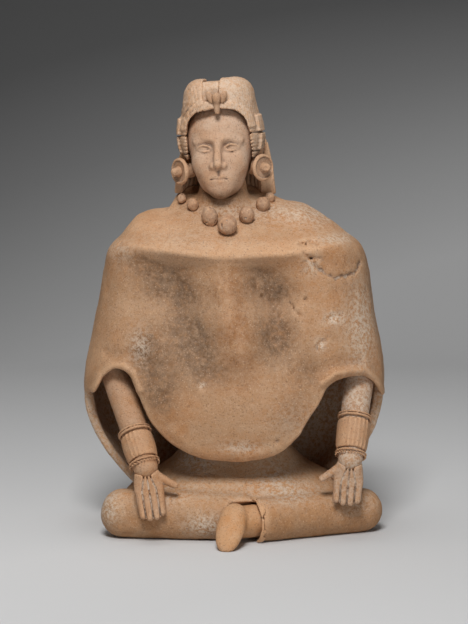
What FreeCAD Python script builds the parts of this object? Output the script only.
"""Seated ceramic figure in a cape, built from the lumps of clay that its maker joined.

Millimetres. +Z is up, the figure faces -Y, and the origin is on the underside, below the neck.
The figure's right hand is at -X. Every lump is its own solid: a lump that is pressed onto
another is trimmed by it, so the two meet face to face as luted clay does.
"""

import FreeCAD
import Part

import math
import os

V = FreeCAD.Vector

# Shared values
overrun = 12.0
section_points = 16
cape_points = 28
foot_flat = 0.6

# Crossed legs, lying on the ground
right_knee_x = -55.0
right_knee_y = -36.0
right_knee_radius = 12.3
right_shin_x = 3.0
right_shin_y = -42.5
right_shin_radius = 11.8
left_knee_x = 64.0
left_knee_y = -22.0
left_knee_radius = 11.2
left_hem_x = 10.0
left_hem_y = -47.0
left_hem_radius = 10.9
hem_lip_width = 2.4
hem_lip_proud = 0.7
hem_socket_depth = 3.0
hem_socket_wall = 1.6
ankle_radius = 8.0
ankle_length = 11.0

# Foot that points at the viewer
foot_length = 26.5
foot_half_width = 7.2
foot_half_depth = 6.0
foot_slope = 31.0
foot_toe_in = 14.0
foot_heel_x = 0.8
foot_heel_y = -51.0
foot_heel_height = 15.5

# Lap under the cape
lap_height = 54.0
lap_half_width = 62.0
lap_front_reach = 42.0
lap_back_reach = 37.0
lap_centre_x = 3.0
waist_x = 0.5

# Torso that carries the cape
torso_height = 109.0
torso_half_width = 43.0
torso_half_depth = 22.0

# Cape
cape_wall = 5.0
cape_half_width = 77.0
cape_front_reach = 48.5
cape_back_reach = 43.0
cape_neck_half_width = 17.0
back_hem_height = 10.0
front_hem_height = 39.2
right_arch_height = 85.0
left_arch_height = 81.4
panel_edge_y = -11.0
cape_hollow_depth = 3.6
neckline_tilt = 0.30
neckline_share = 0.876

# Arms and cuffs
shoulder_x = 47.0
shoulder_y = 2.0
shoulder_drop = 22.0
shoulder_radius = 9.5
elbow_radius = 8.3
wrist_radius = 6.2
right_elbow_x = -62.0
left_elbow_x = 64.5
elbow_y = -15.0
elbow_height = 88.0
right_wrist_x = -44.0
right_wrist_y = -47.5
right_wrist_height = 37.5
left_wrist_x = 58.0
left_wrist_y = -41.5
left_wrist_height = 41.0
cuff_wall = 1.1
cuff_band_wall = 1.9
cuff_band_width = 3.2
right_cuff_length = 21.0
left_cuff_length = 23.0
cuff_rib_radius = 0.75
right_cuff_ribs = 3
left_cuff_ribs = 5
cuff_rib_pitch = 2.1

# Hands
hand_width = 14.4
hand_thickness = 5.6
palm_length = 11.5
right_finger_length = 15.5
left_finger_length = 12.5
finger_count = 4
finger_tip_radius = 1.65
finger_overlap = 0.08
thumb_length = 11.0
thumb_radius = 1.9
right_fingertip_x = -39.5
right_fingertip_y = -55.5
right_fingertip_height = 12.0
left_fingertip_x = 56.0
left_fingertip_y = -43.5
left_fingertip_height = 16.5

# Neck and head
neck_x = -5.6
neck_y = -2.0
neck_length = 16.0
neck_radius = 11.6
neck_foot_radius = 15.5
neck_foot_depth = 10.5
neck_tenon_radius = 7.5
neck_tenon_length = 14.0
head_height = 52.5
head_half_width = 17.3
head_half_depth = 17.6
head_x = -6.2
head_y = -5.0
head_roll = -3.0
head_yaw = -6.0

# Features of the face, on equal thirds from the hairline to the chin
nose_length = 14.6
nose_bridge_radius = 1.5
nose_tip_radius = 2.5
nose_projection = 5.4
nostril_radius = 1.7
eye_width = 6.6
eye_height = 3.0
eye_depth = 2.4
eye_spacing = 6.9
brow_radius = 1.2
brow_length = 8.5
mouth_width = 10.4
upper_lip_height = 2.0
lower_lip_height = 2.3
lip_depth = 2.4
chin_radius = 4.2

# Hair
hair_thickness = 3.6
hair_top_rise = 9.4
fringe_width = 3.6
fringe_thickness = 1.1
lobe_gap = 8.4
lobe_gap_x = -2.4
panel_recess = 2.6
panel_drop = 1.6
upper_lock_height = 8.6
upper_lock_depth = 6.0
lower_lock_height = 9.6
lower_lock_depth = 6.5
lock_proud = 1.5
back_hair_wall = 4.6
back_hair_half_width = 25.5
back_hair_back_reach = 22.0
back_hair_front_y = 3.5

# Ornaments
bud_half_width = 2.3
bud_half_height = 3.0
bud_depth = 2.6
bud_stem_radius = 1.6
bud_stem_length = 6.4
petal_half_width = 1.9
petal_half_height = 3.4
petal_depth = 1.5
petal_lean = 26.0
spool_radius = 6.9
spool_thickness = 2.7
spool_rim = 1.5
spool_dish_depth = 0.9
spool_stem_radius = 3.6
spool_stem_length = 8.0
spool_x = 21.0
spool_y = -5.5
spool_height = -8.2
spool_splay = 48.0
spool_boss_radius = 2.9
spool_boss_length = 2.6

# Necklace
bead_sink = 0.8
bead_hover = 5.0
bead_hover_out = 2.4


def point_between(a, b, share):
    """The point a given share of the way from a to b."""
    return a + (b - a) * share


def closed_curve(points):
    """A smooth closed wire through the points."""
    curve = Part.BSplineCurve()
    curve.interpolate(Points=points, PeriodicFlag=True, Parameters=list(range(len(points) + 1)))
    return Part.Wire([curve.toShape()])


def oval(centre_x, centre_y, level, side, front, back, squareness, dents=(), tilt=0):
    """A closed curve at one level, with its own reach to the side, to the front and to the back.

    Each dent is (angle from straight ahead, half spread in degrees, depth in mm). Tilt is the
    rise per mm towards the back.
    """
    points = []
    count = cape_points if dents else section_points
    for i in range(count):
        turn = math.tau * i / count
        reach = back if math.sin(turn) > 0 else front
        flat = abs(math.cos(turn) / side) ** squareness + abs(math.sin(turn) / reach) ** squareness
        radius = flat ** (-1 / squareness)
        for angle, spread, depth in dents:
            away = (math.degrees(turn) - 270 - angle + 180) % 360 - 180
            radius -= depth * math.exp(-((away / spread) ** 2))
        x = centre_x + radius * math.cos(turn)
        y = centre_y + radius * math.sin(turn)
        points.append(V(x, y, level + tilt * y))
    return closed_curve(points)


def loft(wires):
    """A smooth solid through closed wires."""
    return Part.makeLoft(wires, True, False)


def ellipsoid(centre, half_x, half_y, half_z, turn=None):
    """An ellipsoid, turned about its own centre before it is placed."""
    stretch = FreeCAD.Matrix()
    stretch.scale(half_x, half_y, half_z)
    shape = Part.makeSphere(1.0).transformGeometry(stretch)
    shape.Placement = FreeCAD.Placement(centre, turn or FreeCAD.Rotation())
    return shape


def along(start, direction):
    """The placement that puts a shape drawn up the Z axis at start, pointing along direction."""
    return FreeCAD.Placement(start, FreeCAD.Rotation(V(0, 0, 1), direction))


def spun(edges):
    """A solid of revolution about the Z axis from a profile in the XZ plane."""
    return Part.Face(Part.Wire(edges)).revolve(V(0, 0, 0), V(0, 0, 1), 360)


def roll(start, end, start_radius, end_radius, flat_end=False):
    """A tapering roll of clay with round ends, or with its far end cut square."""
    length = (end - start).Length
    lean = math.asin((start_radius - end_radius) / length)
    bottom = V(0, 0, -start_radius)
    low = V(start_radius * math.cos(lean), 0, start_radius * math.sin(lean))
    half = (lean - math.pi / 2) / 2
    low_mid = V(start_radius * math.cos(half), 0, start_radius * math.sin(half))
    edges = [Part.Arc(bottom, low_mid, low).toShape()]
    if flat_end:
        high = V(end_radius, 0, length)
        top = V(0, 0, length)
        edges.append(Part.makeLine(low, high))
        edges.append(Part.makeLine(high, top))
    else:
        high = V(end_radius * math.cos(lean), 0, length + end_radius * math.sin(lean))
        top = V(0, 0, length + end_radius)
        half = (lean + math.pi / 2) / 2
        high_mid = V(end_radius * math.cos(half), 0, length + end_radius * math.sin(half))
        edges.append(Part.makeLine(low, high))
        edges.append(Part.Arc(high, high_mid, top).toShape())
    edges.append(Part.makeLine(top, bottom))
    shape = spun(edges)
    shape.Placement = along(start, end - start)
    return shape


def biggest(shape):
    """The largest solid of a shape, which drops the crumbs that a trim leaves."""
    return max(shape.Solids, key=lambda s: s.Volume)


def seat(piece, *carriers):
    """The piece, trimmed by what carries it."""
    for carrier in carriers:
        if carrier.BoundBox.intersect(piece.BoundBox):
            piece = biggest(piece.cut(carrier))
    return piece


def block(low, high):
    """A box between two corners."""
    size = high - low
    return Part.makeBox(size.x, size.y, size.z, low)


def on_ground(piece):
    """The piece with everything under the ground cut away."""
    box = piece.BoundBox
    low = V(box.XMin - overrun, box.YMin - overrun, box.ZMin - overrun)
    high = V(box.XMax + overrun, box.YMax + overrun, 0)
    return biggest(piece.cut(block(low, high)))


# Legs and feet


def leg_pieces():
    """Both legs, the lip of the skirt's hem, the ankle and the foot."""
    right_knee = V(right_knee_x, right_knee_y, right_knee_radius - foot_flat)
    right_shin = V(right_shin_x, right_shin_y, right_shin_radius - foot_flat)
    left_knee = V(left_knee_x, left_knee_y, left_knee_radius - foot_flat)
    left_hem = V(left_hem_x, left_hem_y, left_hem_radius - foot_flat)
    left_axis = (left_hem - left_knee).normalize()

    left_leg = on_ground(roll(left_knee, left_hem, left_knee_radius, left_hem_radius, flat_end=True))
    socket = Part.makeCylinder(left_hem_radius - hem_socket_wall, hem_socket_depth + overrun,
                               left_hem - left_axis * hem_socket_depth, left_axis)
    left_leg = biggest(left_leg.cut(socket))

    lip_radius = left_hem_radius + hem_lip_proud
    lip = Part.makeCylinder(lip_radius, hem_lip_width, left_hem - left_axis * hem_lip_width, left_axis)
    lip = lip.fuse(Part.makeTorus(lip_radius - hem_lip_width / 2, hem_lip_width / 2, left_hem, left_axis))
    bore = Part.makeCylinder(left_hem_radius - hem_lip_proud, hem_lip_width + 2 * overrun,
                             left_hem - left_axis * (hem_lip_width + overrun), left_axis)
    hem_lip = seat(on_ground(biggest(lip.cut(bore))), left_leg)

    ankle_start = left_hem - left_axis * hem_socket_depth
    ankle = roll(ankle_start, ankle_start + left_axis * ankle_length, ankle_radius, ankle_radius)
    ankle = on_ground(ankle)

    right_leg = on_ground(roll(right_knee, right_shin, right_knee_radius, right_shin_radius))
    right_leg = seat(right_leg, left_leg, hem_lip, ankle, socket)

    foot = seat(on_ground(foot_shape()), right_leg, left_leg, hem_lip, ankle)
    return {
        "left_leg": left_leg,
        "left_hem_lip": hem_lip,
        "left_ankle": seat(ankle, left_leg, hem_lip, right_leg),
        "right_leg": right_leg,
        "left_foot": foot,
    }


foot_section_shares = [
    (-0.10, 0.30, 0.45, 0.10),
    (0.02, 0.78, 0.88, 0.05),
    (0.22, 0.96, 1.00, 0.00),
    (0.50, 1.00, 0.80, -0.06),
    (0.76, 0.84, 0.55, -0.16),
    (0.93, 0.52, 0.36, -0.26),
    (1.00, 0.20, 0.18, -0.32),
]


def foot_shape():
    """A leaf-shaped foot, drawn up the Z axis and laid down with its toes forward."""
    wires = []
    for rise, side, depth, sag in foot_section_shares:
        wires.append(oval(0, foot_half_depth * sag, foot_length * rise, foot_half_width * side,
                          foot_half_depth * depth, foot_half_depth * depth, 2.2))
    foot = loft(wires)
    turn = FreeCAD.Rotation(V(0, 0, 1), -foot_toe_in).multiply(FreeCAD.Rotation(V(1, 0, 0), 90 + foot_slope))
    foot.Placement = FreeCAD.Placement(V(foot_heel_x, foot_heel_y, foot_heel_height), turn)
    return foot


# Lap, torso and cape

lap_section_shares = [
    (0.00, 0.90, 0.70, 0.97),
    (0.20, 0.95, 0.84, 1.00),
    (0.33, 0.92, 0.96, 1.00),
    (0.41, 0.84, 0.98, 0.98),
    (0.48, 0.74, 0.88, 0.95),
    (0.56, 0.62, 0.74, 0.90),
    (0.66, 0.51, 0.61, 0.82),
    (0.78, 0.43, 0.51, 0.72),
    (0.90, 0.38, 0.45, 0.62),
    (1.00, 0.36, 0.42, 0.57),
]

torso_section_shares = [
    (0.00, 0.50, 0.76),
    (0.20, 0.52, 0.80),
    (0.50, 0.68, 0.88),
    (0.75, 0.88, 0.98),
    (0.88, 1.00, 1.00),
    (0.96, 0.84, 0.86),
    (1.00, 0.55, 0.66),
]


def lap_shape():
    """The skirt over the lap: wide on the ground, flaring up to the waist."""
    wires = []
    for level, side, front, back in lap_section_shares:
        centre = lap_centre_x + (waist_x - lap_centre_x) * level
        wires.append(oval(centre, 0, lap_height * level, lap_half_width * side,
                          lap_front_reach * front, lap_back_reach * back, 2.3))
    return loft(wires)


def torso_shape():
    """The column inside the cape, wide at the shoulders."""
    wires = []
    for level, side, depth in torso_section_shares:
        centre = waist_x + (neck_x - waist_x) * level * level
        wires.append(oval(centre, 0, lap_height + torso_height * level, torso_half_width * side,
                          torso_half_depth * depth, torso_half_depth * depth, 2.2))
    return loft(wires)


# Share of the height from the back hem to the neck, of the half width, of the front reach,
# of the back reach, squareness, how far the wall leans, and the share of the hollows' depth.
cape_section_shares = [
    (0.000, 0.57, 0.66, 0.95, 2.4, 0.00, 0.0),
    (0.089, 0.70, 0.77, 0.98, 2.5, 0.00, 0.0),
    (0.146, 0.80, 0.86, 0.99, 2.6, 0.00, 0.0),
    (0.209, 0.892, 0.93, 1.00, 2.7, 0.00, 0.0),
    (0.285, 0.965, 0.98, 1.00, 2.8, 0.00, 0.0),
    (0.380, 1.000, 1.00, 1.00, 2.8, 0.00, 0.1),
    (0.500, 0.985, 0.96, 1.00, 2.8, 0.00, 0.5),
    (0.610, 0.930, 0.89, 0.99, 2.8, 0.00, 1.0),
    (0.710, 0.885, 0.82, 0.96, 2.8, 0.00, 1.0),
    (0.800, 0.855, 0.82, 0.91, 2.9, 0.00, 0.4),
    (0.842, 0.825, 0.835, 0.86, 2.9, 0.25, 0.0),
    (0.876, 0.755, 0.75, 0.77, 2.7, 0.60, 0.0),
    (0.912, 0.680, 0.64, 0.66, 2.5, 0.75, 0.0),
    (0.949, 0.555, 0.50, 0.53, 2.3, 0.88, 0.0),
    (0.977, 0.385, 0.37, 0.42, 2.1, 0.96, 0.0),
    (1.000, 0.221, 0.28, 0.32, 2.0, 1.00, 0.0),
]
cape_hollows = [(-35.0, 17.0, 1.0), (30.0, 15.0, 0.85)]

# Share of the cape's half width, and share of the rise from the front hem to the arch.
right_arch_shares = [
    (-1.06, 0.64), (-0.887, 0.80), (-0.838, 0.915), (-0.745, 1.00), (-0.683, 0.955), (-0.649, 0.856),
    (-0.610, 0.686), (-0.557, 0.493), (-0.492, 0.345), (-0.414, 0.218), (-0.323, 0.116), (-0.219, 0.044),
    (-0.091, 0.013), (0.039, 0.000),
]
left_arch_shares = [
    (0.167, 0.026), (0.297, 0.114), (0.362, 0.218), (0.427, 0.355), (0.492, 0.540), (0.558, 0.723),
    (0.604, 0.886), (0.649, 0.950), (0.717, 0.986), (0.825, 1.000), (0.893, 0.938), (0.951, 0.791),
    (1.000, 0.640), (1.070, 0.540),
]


def cape_top():
    """The level at which the cape closes round the neck."""
    return lap_height + torso_height + cape_wall


def cape_loft(wall):
    """The cape's outer form, or the space inside it when wall is more than zero."""
    span = cape_top() - back_hem_height
    wires = []
    sections = cape_section_shares[:-1] if wall else cape_section_shares
    for rise, side, front, back, squareness, lean, hollow in sections:
        level = back_hem_height + span * rise - wall * lean
        if wall and rise == 0:
            level -= overrun
        inset = wall * (1 - lean)
        near_neck = max(0, rise - neckline_share) / (1 - neckline_share)
        shift = neck_x * near_neck
        dents = [(angle, spread, share * hollow * cape_hollow_depth) for angle, spread, share in cape_hollows]
        wires.append(oval(shift, 0, level, cape_half_width * side - inset, cape_front_reach * front - inset,
                          cape_back_reach * back - inset, squareness, dents, neckline_tilt * near_neck))
    return loft(wires)


def hem_cutter():
    """Everything in front of the back panel and below the front hem and its two arches."""
    points = []
    for side, rise in right_arch_shares:
        points.append(V(cape_half_width * side, 0, front_hem_height + (right_arch_height - front_hem_height) * rise))
    for side, rise in left_arch_shares:
        points.append(V(cape_half_width * side, 0, front_hem_height + (left_arch_height - front_hem_height) * rise))
    curve = Part.BSplineCurve()
    curve.interpolate(points)
    low_right = V(points[0].x, 0, -overrun)
    low_left = V(points[-1].x, 0, -overrun)
    outline = Part.Wire([
        curve.toShape(),
        Part.makeLine(points[-1], low_left),
        Part.makeLine(low_left, low_right),
        Part.makeLine(low_right, points[0]),
    ])
    reach = cape_front_reach + overrun
    face = Part.Face(outline)
    face.translate(V(0, -reach, 0))
    return face.extrude(V(0, reach + panel_edge_y, 0))


def cape_shell():
    """The thin bell of the cape, open below and cut into arches over the forearms."""
    shell = cape_loft(0).cut(cape_loft(cape_wall))
    return biggest(shell.cut(hem_cutter()))


# Arms and hands


def arm_line(side):
    """Shoulder, elbow, wrist and fingertip of one arm."""
    shoulder = V(side * shoulder_x, shoulder_y, cape_top() - shoulder_drop)
    if side < 0:
        elbow = V(right_elbow_x, elbow_y, elbow_height)
        wrist = V(right_wrist_x, right_wrist_y, right_wrist_height)
        tip = V(right_fingertip_x, right_fingertip_y, right_fingertip_height)
    else:
        elbow = V(left_elbow_x, elbow_y, elbow_height)
        wrist = V(left_wrist_x, left_wrist_y, left_wrist_height)
        tip = V(left_fingertip_x, left_fingertip_y, left_fingertip_height)
    return shoulder, elbow, wrist, tip


def sleeve(elbow, wrist, start, length, wall):
    """A ring of clay round the forearm, from start mm above the wrist, for length mm."""
    axis = elbow - wrist
    whole = axis.Length
    axis.normalize()

    def radius(at):
        return wrist_radius + (elbow_radius - wrist_radius) * at / whole

    inner_low = V(radius(start) / 2, 0, start)
    inner_high = V(radius(start) / 2, 0, start + length)
    outer_low = V(radius(start) + wall, 0, start)
    outer_high = V(radius(start + length) + wall, 0, start + length)
    bulge = V((outer_low.x + outer_high.x) / 2 + cuff_wall / 2, 0, start + length / 2)
    shape = spun([
        Part.makeLine(inner_low, outer_low),
        Part.Arc(outer_low, bulge, outer_high).toShape(),
        Part.makeLine(outer_high, inner_high),
        Part.makeLine(inner_high, inner_low),
    ])
    shape.Placement = along(wrist, axis)
    return shape


def cuff_ribs(elbow, wrist, start, length, count, facing):
    """Raised strips along the cuff, side by side, on the side that faces the given direction."""
    axis = (elbow - wrist).normalize()
    across = axis.cross(facing).normalize()
    outward = across.cross(axis).normalize()
    ribs = []
    for i in range(count):
        offset = (i - (count - 1) / 2) * cuff_rib_pitch
        low = wrist + axis * start
        high = wrist + axis * (start + length)
        whole = (elbow - wrist).Length
        low_reach = wrist_radius + (elbow_radius - wrist_radius) * start / whole + cuff_wall
        high_reach = wrist_radius + (elbow_radius - wrist_radius) * (start + length) / whole + cuff_wall
        angle = math.asin(offset / low_reach)
        way = outward * math.cos(angle) + across * math.sin(angle)
        ribs.append(roll(low + way * low_reach, high + way * high_reach, cuff_rib_radius,
                         cuff_rib_radius * 0.98))
    return ribs


def hand_frame(wrist, tip):
    """The placement of a hand drawn down the Z axis with its back to -Y."""
    down = (tip - wrist).normalize()
    sideways = V(1, 0, 0)
    sideways = (sideways - down * sideways.dot(down)).normalize()
    back = down.cross(sideways)
    matrix = FreeCAD.Matrix(
        sideways.x, -back.x, -down.x, wrist.x,
        sideways.y, -back.y, -down.y, wrist.y,
        sideways.z, -back.z, -down.z, wrist.z,
        0, 0, 0, 1,
    )
    return FreeCAD.Placement(matrix)


palm_section_shares = [
    (-0.20, 0.80, 2.00, 2.0),
    (0.20, 0.86, 1.90, 2.1),
    (0.55, 0.94, 1.45, 2.4),
    (0.90, 1.00, 1.08, 2.7),
    (1.25, 0.98, 0.84, 2.8),
]


def hand_shape(wrist, tip, finger_length, fan):
    """The back of the hand and four fingers side by side, parted by grooves."""
    wires = []
    for fall, side, depth, squareness in palm_section_shares:
        wires.append(oval(0, 0, -palm_length * fall, hand_width / 2 * side,
                          hand_thickness / 2 * depth, hand_thickness / 2 * depth, squareness))
    hand = loft(wires)
    pitch = hand_width / finger_count
    base_radius = pitch / 2 + finger_overlap
    stagger_shares = [0.90, 1.00, 0.99, 0.88]
    fingers = []
    for i in range(finger_count):
        offset = (i - (finger_count - 1) / 2) * pitch
        length = palm_length + finger_length * stagger_shares[i % len(stagger_shares)]
        start = V(offset, 0, -palm_length)
        end = V(offset * fan, 0, finger_tip_radius - length)
        flat = FreeCAD.Matrix()
        finger = roll(start, end, base_radius, finger_tip_radius)
        flat.scale(1, hand_thickness / 2 * 0.9 / base_radius, 1)
        fingers.append(finger.transformGeometry(flat))
    hand = hand.fuse(fingers)
    hand.Placement = hand_frame(wrist, tip)
    return biggest(hand)


def thumb_shape(wrist, tip, side):
    """A short roll that leaves the wrist's inner side and points away from the fingers."""
    root = V(-side * hand_width * 0.30, 0, -palm_length * 0.42)
    end = root + V(-side * thumb_length * 0.80, hand_thickness * 0.1, -thumb_length * 0.60)
    thumb = roll(root, end, thumb_radius * 1.25, thumb_radius * 0.9)
    thumb.Placement = hand_frame(wrist, tip).multiply(thumb.Placement)
    return thumb


# Head, in its own frame: origin at the middle of the head, face to -Y

# Share of the head's height above the middle, of the half width, of the half depth for the
# section's middle, and of the half depth for its reach.
head_section_shares = [
    (-0.427, 0.26, -0.66, 0.30),
    (-0.380, 0.50, -0.53, 0.51),
    (-0.270, 0.72, -0.38, 0.69),
    (-0.115, 0.87, -0.21, 0.86),
    (0.057, 0.97, -0.09, 0.975),
    (0.229, 1.00, -0.03, 1.00),
    (0.381, 0.92, 0.00, 0.92),
    (0.490, 0.72, 0.03, 0.72),
    (0.560, 0.36, 0.03, 0.36),
]

# Share of the head's height above the middle, and of the hair's half width, front and back.
hair_section_shares = [
    (-0.050, 0.86, 0.80, 0.84),
    (0.060, 0.98, 0.86, 0.96),
    (0.210, 1.00, 0.88, 1.00),
    (0.370, 0.94, 0.87, 0.95),
    (0.500, 0.88, 0.83, 0.87),
]
coiffure_section_shares = [
    (0.000, 0.880, 0.83, 0.87),
    (0.350, 0.850, 0.78, 0.80),
    (0.680, 0.770, 0.68, 0.68),
    (0.900, 0.640, 0.54, 0.54),
    (1.000, 0.480, 0.40, 0.40),
]
hairline_shares = [(-0.93, 0.06), (-0.91, 0.22), (-0.80, 0.34), (-0.55, 0.405), (-0.22, 0.432),
                   (0.22, 0.432), (0.55, 0.405), (0.80, 0.34), (0.91, 0.22), (0.93, 0.06)]


def head_placement():
    """Where the head sits: turned, and tipped to its right, on top of the neck."""
    lean = FreeCAD.Rotation(V(0, 0, 1), head_yaw).multiply(FreeCAD.Rotation(V(0, 1, 0), head_roll))
    level = cape_top() + head_height * 0.44
    return FreeCAD.Placement(V(head_x, head_y, level), lean)


def skull_shape():
    """The plain form of the head."""
    wires = []
    for level, side, middle, reach in head_section_shares:
        wires.append(oval(0, head_half_depth * middle, head_height * level, head_half_width * side,
                          head_half_depth * reach, head_half_depth * reach, 2.1))
    return loft(wires)


def head_shape(skull):
    """The head with a calm, even face: features on equal thirds, eyes one eye apart."""
    face_y = -head_half_depth * 1.02
    nose_base = -head_height * 0.142
    bridge = V(0, face_y + nose_bridge_radius * 0.6, nose_base + nose_length)
    tip = V(0, face_y - nose_projection + nose_tip_radius, nose_base + nose_tip_radius)
    parts = [roll(bridge, tip, nose_bridge_radius, nose_tip_radius)]
    for side in (-1, 1):
        wing = V(side * nostril_radius * 1.45, face_y - nostril_radius * 0.6, nose_base + nostril_radius)
        parts.append(Part.makeSphere(nostril_radius, wing))
        eye = V(side * eye_spacing, face_y + eye_depth * 0.62, nose_base + nose_length * 0.80)
        parts.append(ellipsoid(eye, eye_width / 2, eye_depth, eye_height / 2,
                               FreeCAD.Rotation(V(0, 0, 1), side * 18)))
        inner = V(side * eye_spacing * 0.42, face_y + brow_radius * 0.1, nose_base + nose_length + brow_radius)
        outer = inner + V(side * brow_length, head_half_depth * 0.22, -brow_radius)
        parts.append(roll(inner, outer, brow_radius, brow_radius * 0.8))
    mouth_level = nose_base - head_height * 0.098
    upper = V(0, face_y + lip_depth * 0.35, mouth_level + upper_lip_height * 0.42)
    lower = V(0, face_y + lip_depth * 0.45, mouth_level - lower_lip_height * 0.42)
    parts.append(ellipsoid(upper, mouth_width / 2, lip_depth, upper_lip_height / 2))
    parts.append(ellipsoid(lower, mouth_width / 2 * 0.86, lip_depth, lower_lip_height / 2))
    chin = V(0, face_y + chin_radius * 0.88, -head_height * 0.427 + chin_radius * 0.95)
    parts.append(Part.makeSphere(chin_radius, chin))
    return biggest(skull.fuse(parts))


def hair_loft(shares, base, span, grow):
    """A block of hair through its sections, grown outward by grow."""
    half_width = head_half_width + hair_thickness + grow
    reach = head_half_depth + hair_thickness + grow
    wires = []
    for level, side, front, back in shares:
        wires.append(oval(0, 0, base + span * level, half_width * side, reach * front, reach * back, 2.3))
    return loft(wires)


def hairline_cutter(grow):
    """The window of the face: an arch from temple to temple, grown outward by grow."""
    points = []
    for side, level in hairline_shares:
        swell = 1 + grow / head_half_width
        points.append(V(head_half_width * side * swell, 0, head_height * level + grow * max(0, level) / 0.432))
    curve = Part.BSplineCurve()
    curve.interpolate(points)
    low_left = V(points[0].x, 0, -head_height)
    low_right = V(points[-1].x, 0, -head_height)
    outline = Part.Wire([
        curve.toShape(),
        Part.makeLine(points[-1], low_right),
        Part.makeLine(low_right, low_left),
        Part.makeLine(low_left, points[0]),
    ])
    reach = head_half_depth * 2
    face = Part.Face(outline)
    face.translate(V(0, -reach, 0))
    return face.extrude(V(0, reach - head_half_depth * 0.15, 0))


def hair_pieces(skull):
    """Crown, fringe, temple locks, the two lobes and the panel between them."""
    split = head_height * 0.5
    crown = hair_loft(hair_section_shares, 0, head_height, 0)
    window = hairline_cutter(0)
    crown = seat(crown, window, skull)

    grown = hair_loft(hair_section_shares, 0, head_height, fringe_thickness)
    band = hairline_cutter(fringe_width).cut(window)
    fringe = grown.common(band)
    low = -head_half_width * 2
    keep = block(V(low, low, head_height * 0.24), V(-low, 0, split))
    fringe = seat(fringe.common(keep), skull, crown)

    top = hair_loft(coiffure_section_shares, split, hair_top_rise + head_height * 0.04, 0)
    gap_low = lobe_gap_x - lobe_gap / 2
    gap_high = lobe_gap_x + lobe_gap / 2
    box = top.BoundBox
    far = head_height
    right_side = block(V(-far, -far, box.ZMin - overrun), V(gap_low, far, box.ZMax + overrun))
    left_side = block(V(gap_high, -far, box.ZMin - overrun), V(far, far, box.ZMax + overrun))
    middle = block(V(gap_low, box.YMin + panel_recess, box.ZMin - overrun),
                   V(gap_high, far, box.ZMax - panel_drop))
    pieces = {
        "hair_crown": crown,
        "hair_fringe": fringe,
        "right_hair_lobe": seat(top.common(right_side), skull),
        "left_hair_lobe": seat(top.common(left_side), skull),
        "hair_parting_panel": seat(top.common(middle), skull),
    }
    locks = hair_loft(hair_section_shares, 0, head_height, lock_proud)
    for side, name in ((-1, "right"), (1, "left")):
        inner = side * head_half_width * 0.60
        outer = side * head_half_width * 2
        upper_low = head_height * 0.19
        upper = block(V(min(inner, outer), -head_half_depth * 0.15 - upper_lock_depth, upper_low),
                      V(max(inner, outer), 0, upper_low + upper_lock_height))
        lower = block(V(min(inner, outer), -head_half_depth * 0.15 - lower_lock_depth * 0.6,
                        upper_low - lower_lock_height),
                      V(max(inner, outer), lower_lock_depth * 0.4, upper_low))
        pieces[name + "_upper_lock"] = seat(locks.common(upper), skull, crown, fringe)
        pieces[name + "_lower_lock"] = seat(locks.common(lower), skull, crown, fringe)
    return pieces


def ornament_pieces(skull, hair):
    """The bud on the forehead and the two ear spools."""
    front = -(head_half_depth + hair_thickness) * 0.87
    middle = V(0.4 * bud_half_width, front - bud_depth * 0.35, head_height * 0.53)
    stem_end = middle - V(0, 0, bud_stem_length)
    bud = ellipsoid(middle, bud_half_width, bud_depth, bud_half_height)
    bud = bud.fuse(roll(middle, stem_end, bud_stem_radius, bud_stem_radius * 0.9))
    names = ("hair_crown", "hair_fringe", "hair_parting_panel", "right_hair_lobe", "left_hair_lobe")
    carriers = [skull] + [hair[name] for name in names]
    bud = seat(bud, *carriers)
    petals = []
    for side in (-1, 1):
        centre = middle + V(side * (bud_half_width + petal_half_width * 0.55), bud_depth * 0.35, bud_half_height * 0.25)
        petal = ellipsoid(centre, petal_half_width, petal_depth, petal_half_height,
                          FreeCAD.Rotation(V(0, 1, 0), side * petal_lean))
        petals.append(seat(petal, bud, *carriers))
    pieces = {"forehead_bud": bud, "forehead_petals": Part.makeCompound(petals)}
    for side, name in ((-1, "right"), (1, "left")):
        splay = math.radians(spool_splay)
        outward = V(side * math.sin(splay), -math.cos(splay), 0)
        centre = V(side * spool_x, spool_y, spool_height)
        half = spool_thickness / 2
        dish = spool_radius - spool_rim
        spool = spun([
            Part.makeLine(V(0, 0, -spool_stem_length), V(spool_stem_radius, 0, -spool_stem_length)),
            Part.makeLine(V(spool_stem_radius, 0, -spool_stem_length), V(spool_stem_radius, 0, -half)),
            Part.makeLine(V(spool_stem_radius, 0, -half), V(spool_radius - half, 0, -half)),
            Part.Arc(V(spool_radius - half, 0, -half), V(spool_radius, 0, 0),
                     V(spool_radius - half, 0, half)).toShape(),
            Part.makeLine(V(spool_radius - half, 0, half), V(dish, 0, half - spool_dish_depth)),
            Part.makeLine(V(dish, 0, half - spool_dish_depth), V(0, 0, half - spool_dish_depth)),
            Part.makeLine(V(0, 0, half - spool_dish_depth), V(0, 0, -spool_stem_length)),
        ])
        spool.Placement = along(centre, outward)
        spool = seat(spool, skull, hair["hair_crown"], hair[name + "_lower_lock"])
        boss_start = centre + outward * (half - spool_dish_depth)
        boss = roll(boss_start, boss_start + outward * spool_boss_length, spool_boss_radius,
                    spool_boss_radius * 0.75)
        pieces[name + "_ear_spool"] = spool
        pieces[name + "_ear_spool_boss"] = seat(boss, spool)
    return pieces


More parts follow.
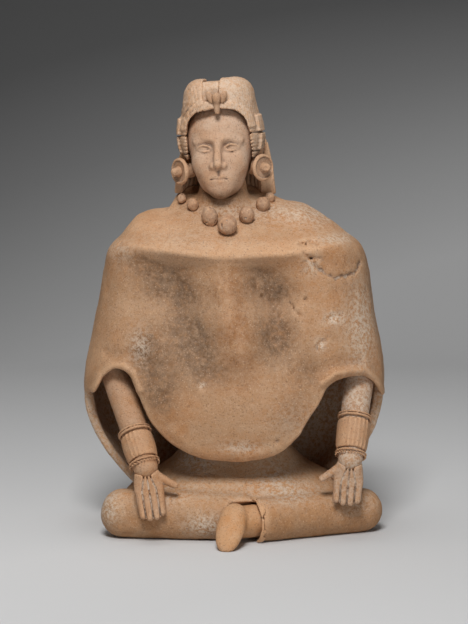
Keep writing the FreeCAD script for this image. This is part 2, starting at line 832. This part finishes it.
def neck_shape():
    """The neck: a tenon that passes the cape into the torso, and a flare that lies on the shoulders."""
    base = cape_top()
    radius_in_head = neck_radius * 0.82
    tenon_low = base - neck_tenon_length
    edges = [
        Part.makeLine(V(0, 0, tenon_low), V(neck_tenon_radius, 0, tenon_low)),
        Part.makeLine(V(neck_tenon_radius, 0, tenon_low), V(neck_tenon_radius, 0, base - neck_foot_depth)),
        Part.makeLine(V(neck_tenon_radius, 0, base - neck_foot_depth),
                      V(neck_foot_radius, 0, base - neck_foot_depth)),
        Part.makeLine(V(neck_foot_radius, 0, base - neck_foot_depth), V(neck_foot_radius, 0, base - cape_wall)),
        Part.Arc(V(neck_foot_radius, 0, base - cape_wall), V(neck_radius * 1.08, 0, base + neck_length * 0.12),
                 V(neck_radius, 0, base + neck_length * 0.55)).toShape(),
        Part.makeLine(V(neck_radius, 0, base + neck_length * 0.55), V(radius_in_head, 0, base + neck_length)),
        Part.makeLine(V(radius_in_head, 0, base + neck_length), V(0, 0, base + neck_length)),
        Part.makeLine(V(0, 0, base + neck_length), V(0, 0, tenon_low)),
    ]
    neck = spun(edges)
    neck.translate(V(neck_x, neck_y, 0))
    return neck


def back_hair_shape():
    """The hair that falls behind the neck as a curved curtain, open to the front."""
    low = cape_top() - cape_wall
    high = cape_top() + head_height * 0.62
    shares = [(0.0, 1.0, 1.0), (0.35, 0.97, 0.98), (0.7, 0.88, 0.94), (1.0, 0.80, 0.90)]

    def curtain(inset, extra):
        wires = []
        for level, side, back in shares:
            stretch = level + extra * (1 if level == 1.0 else -1 if level == 0.0 else 0)
            wires.append(oval(head_x, head_y, low + (high - low) * stretch, back_hair_half_width * side - inset,
                              back_hair_back_reach * back - inset - head_y * 0.5,
                              back_hair_back_reach * back - inset - head_y, 2.4))
        return loft(wires)

    hair = curtain(0, 0).cut(curtain(back_hair_wall, 0.05))
    far = cape_half_width
    front = block(V(-far, -far, low - overrun), V(far, back_hair_front_y, high + overrun))
    return biggest(hair.cut(front))


# Angle round the neck from straight ahead, distance from the neck's axis, drop below the
# cape's top, half sizes, and how far the pellet is tipped.
bead_places = [
    ("bead_1", -79.0, 19.6, 0.7, 2.3, 2.3, 2.6, 0.0),
    ("bead_2", -51.0, 18.4, 3.0, 3.0, 2.9, 3.5, 0.0),
    ("bead_3", -16.0, 22.7, 8.0, 4.1, 3.8, 5.3, -16.0),
    ("bead_4", 4.0, 28.7, 11.5, 5.1, 4.8, 5.0, 0.0),
    ("bead_5", 28.0, 23.5, 7.4, 4.0, 3.9, 4.4, 8.0),
    ("bead_6", 61.0, 21.8, 3.1, 3.7, 3.6, 3.8, 0.0),
    ("bead_7", 83.0, 22.7, 0.4, 2.9, 2.9, 3.0, 0.0),
]


def bead_pieces(cape, carriers):
    """The pellets of the necklace, each pressed onto the cape where it is nearest."""
    pieces = {}
    for name, angle, distance, drop, half_x, half_y, half_z, tip in bead_places:
        turn = math.radians(angle)
        way = V(math.sin(turn), -math.cos(turn), 0)
        hover = V(neck_x, neck_y, cape_top() - drop + bead_hover) + way * (distance + bead_hover_out)
        foot = cape.distToShape(Part.Vertex(hover))[1][0][0]
        outward = (hover - foot).normalize()
        centre = foot + outward * (half_y - bead_sink)
        bead = ellipsoid(centre, half_x, half_y, half_z, FreeCAD.Rotation(V(0, 1, 0), tip))
        pieces[name] = seat(bead, cape, *carriers, *list(pieces.values())[-1:])
    return pieces


def build():
    """All the pieces, by name."""
    pieces = leg_pieces()
    legs = list(pieces.values())
    lap = seat(on_ground(lap_shape()), *legs)
    pieces["lap_skirt"] = lap
    neck = neck_shape()
    shell = cape_shell()
    cape = seat(shell, lap, neck, *legs)
    torso = seat(torso_shape(), lap, cape, neck)
    pieces["torso"] = torso
    pieces["cape"] = cape

    place = head_placement()
    skull = skull_shape()
    head = head_shape(skull)
    hair = hair_pieces(skull)
    ornaments = ornament_pieces(skull, hair)
    for part in [skull, head] + list(hair.values()) + list(ornaments.values()):
        part.Placement = place.multiply(part.Placement)
    pieces["neck"] = seat(neck, head)
    pieces["head"] = head
    pieces.update(hair)
    pieces.update(ornaments)
    locks = [hair["right_lower_lock"], hair["left_lower_lock"]]
    spools = [ornaments["right_ear_spool"], ornaments["left_ear_spool"]]
    back_hair = seat(back_hair_shape(), cape, pieces["neck"], skull, hair["hair_crown"], *locks, *spools)
    pieces["back_hair"] = back_hair
    pieces.update(bead_pieces(cape, [pieces["neck"], back_hair]))

    for side, name, length, ribs, fingers, fan in (
        (-1, "right", right_cuff_length, right_cuff_ribs, right_finger_length, 0.92),
        (1, "left", left_cuff_length, left_cuff_ribs, left_finger_length, 1.0),
    ):
        shoulder, elbow, wrist, tip = arm_line(side)
        upper = seat(roll(shoulder, elbow, shoulder_radius, elbow_radius), cape, torso)
        forearm = seat(roll(elbow, wrist, elbow_radius, wrist_radius), upper, cape)
        hand = seat(hand_shape(wrist, tip, fingers, fan), forearm, *legs)
        thumb = seat(thumb_shape(wrist, tip, side), hand, forearm, lap, *legs)
        body_length = length - 2 * cuff_band_width
        strips = cuff_ribs(elbow, wrist, cuff_band_width, body_length, ribs, V(side * 0.3, -1, 0.2))
        cuff = sleeve(elbow, wrist, cuff_band_width, body_length, cuff_wall).fuse(strips)
        lower = sleeve(elbow, wrist, 0, cuff_band_width, cuff_band_wall)
        upper_band = sleeve(elbow, wrist, length - cuff_band_width, cuff_band_width, cuff_band_wall)
        lower = seat(lower, forearm, hand, thumb, *legs)
        upper_band = seat(upper_band, forearm)
        cuff = seat(cuff, forearm, lower, upper_band)
        pieces[name + "_upper_arm"] = upper
        pieces[name + "_forearm"] = forearm
        pieces[name + "_hand"] = hand
        pieces[name + "_thumb"] = thumb
        pieces[name + "_cuff"] = cuff
        pieces[name + "_cuff_lower_band"] = lower
        pieces[name + "_cuff_upper_band"] = upper_band
    return pieces


def main():
    os.makedirs("parts", exist_ok=True)
    for name, shape in build().items():
        print(f"{name}: {len(shape.Solids)} solid, {shape.Volume / 1000:.2f} cm3, valid {shape.isValid()}")
        shape.exportStep(os.path.join("parts", name + ".step"))


main()
